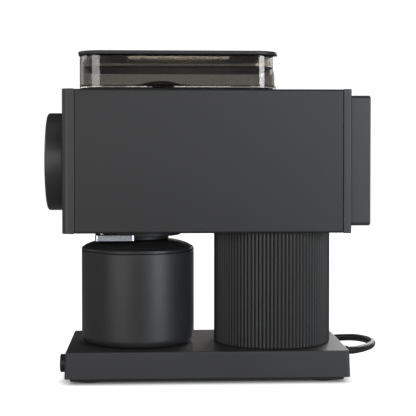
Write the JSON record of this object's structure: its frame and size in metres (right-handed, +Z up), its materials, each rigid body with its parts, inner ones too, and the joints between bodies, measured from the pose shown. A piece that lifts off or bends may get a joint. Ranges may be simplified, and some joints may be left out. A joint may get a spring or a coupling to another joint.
{
  "type": "electric burr coffee grinder",
  "caption": "Electric flat-burr coffee grinder: a metal box on a fluted column and flat base, with a smoked bean hopper, a front grind dial and a lidded catch cup.",
  "frame": {"origin": "on the surface the grinder stands on, under the middle of its outline without the cord", "axes": "+X is the grinder's width, to the user's right as the user faces the dial; the dial faces -Y, the cord leaves at +Y, +Z is up"},
  "size_m": [0.1865, 0.2667, 0.2477],
  "materials": {
    "coat": "fine matt black powder coat on aluminium",
    "anodised": "black satin anodising",
    "black_plastic": "matt black moulded plastic",
    "rubber": "black rubber or silicone",
    "cord_jacket": "black flexible cord jacket",
    "smoked_plastic": "clear smoked plastic, polished",
    "bright_aluminium": "brushed and polished",
    "cast_aluminium": "as cast, machined faces",
    "steel": "plain machined steel",
    "tool_steel": "hardened, ground",
    "copper": "lacquered copper windings on an iron core",
    "board_green": "printed circuit board",
    "brass": "turned brass"
  },
  "bodies": {
    "stand": {"base_shell": "coat", "body_shell": "coat", "front_cap": "coat", "rear_cap": "coat", "rear_cover": "coat", "column": "anodised", "base_plate": "black_plastic", "power_switch": "black_plastic", "feed_throat": "black_plastic", "chute": "black_plastic", "chute_flange": "black_plastic", "finger_guard": "black_plastic", "plug_body": "black_plastic", "rubber_foot_1": "rubber", "rubber_foot_2": "rubber", "rubber_foot_3": "rubber", "rubber_foot_4": "rubber", "hopper_seal": "rubber", "strain_relief": "cord_jacket", "power_cord": "cord_jacket", "cord_coil": "cord_jacket", "cord_tail": "cord_jacket", "hopper_bin": "smoked_plastic", "burr_chamber": "cast_aluminium", "motor_mount": "cast_aluminium", "motor_end_cap": "cast_aluminium", "base_weight": "steel", "base_magnet": "steel", "button_spring": "steel", "detent_plunger": "steel", "wave_spring": "steel", "front_bearing": "steel", "motor_can": "steel", "rear_bearing": "steel", "knocker_pin": "steel", "knocker_spring": "steel", "stator_core": "tool_steel", "control_board": "board_green", "plug_pin_1": "brass", "plug_pin_2": "brass"},
    "dial": {"adjust_dial": "anodised", "adjuster_nut": "brass"},
    "burr_slide": {"outer_burr": "tool_steel", "outer_burr_carrier": "cast_aluminium"},
    "rotor": {"drive_shaft": "steel", "rotor_core": "copper", "cooling_fan": "black_plastic", "auger": "steel", "inner_burr_carrier": "steel", "inner_burr": "tool_steel", "burr_nut": "steel"},
    "button": {"power_button": "anodised"},
    "knocker": {"knocker_lever": "bright_aluminium"},
    "cup": {"catch_cup": "anodised", "catch_lid": "anodised", "cup_magnet": "steel"},
    "lid": {"hopper_lid": "coat", "lid_plug": "smoked_plastic", "lid_gasket": "rubber"}
  },
  "joints": [
    {"name": "dial_turn", "type": "hinge", "parent": "stand", "child": "dial", "pos_m": [0, -0.115, 0.1646], "axis": [0, -1, 0], "range_deg": [0, 330]},
    {"name": "burr_travel", "type": "slide", "parent": "stand", "child": "burr_slide", "axis": [0, -1, 0], "range_m": [0, 0.0008]},
    {"name": "rotor_spin", "type": "hinge", "parent": "stand", "child": "rotor", "pos_m": [0, 0, 0.1646], "axis": [0, 1, 0], "continuous": true},
    {"name": "button_press", "type": "slide", "parent": "stand", "child": "button", "axis": [0, 1, 0], "range_m": [0, 0.002], "stiffness_N_per_m": 400, "springref_m": -0.001, "deforming": ["button_spring"]},
    {"name": "knocker_swing", "type": "hinge", "parent": "stand", "child": "knocker", "pos_m": [0.0275, -0.0795, 0.108], "axis": [0, 0, -1], "range_deg": [0, 18], "stiffness_Nm_per_rad": 0.05, "springref_deg": -5.73},
    {"name": "cup_slide", "type": "slide", "parent": "stand", "child": "cup", "axis": [0, -1, 0], "range_m": [0, 0.12]},
    {"name": "lid_lift", "type": "slide", "parent": "stand", "child": "lid", "axis": [0, 0, 1], "range_m": [0, 0.06]}
  ],
  "couplings": [
    {"joint": "burr_travel", "follows": "dial_turn", "m_per_rad": 0.0001388}
  ]
}
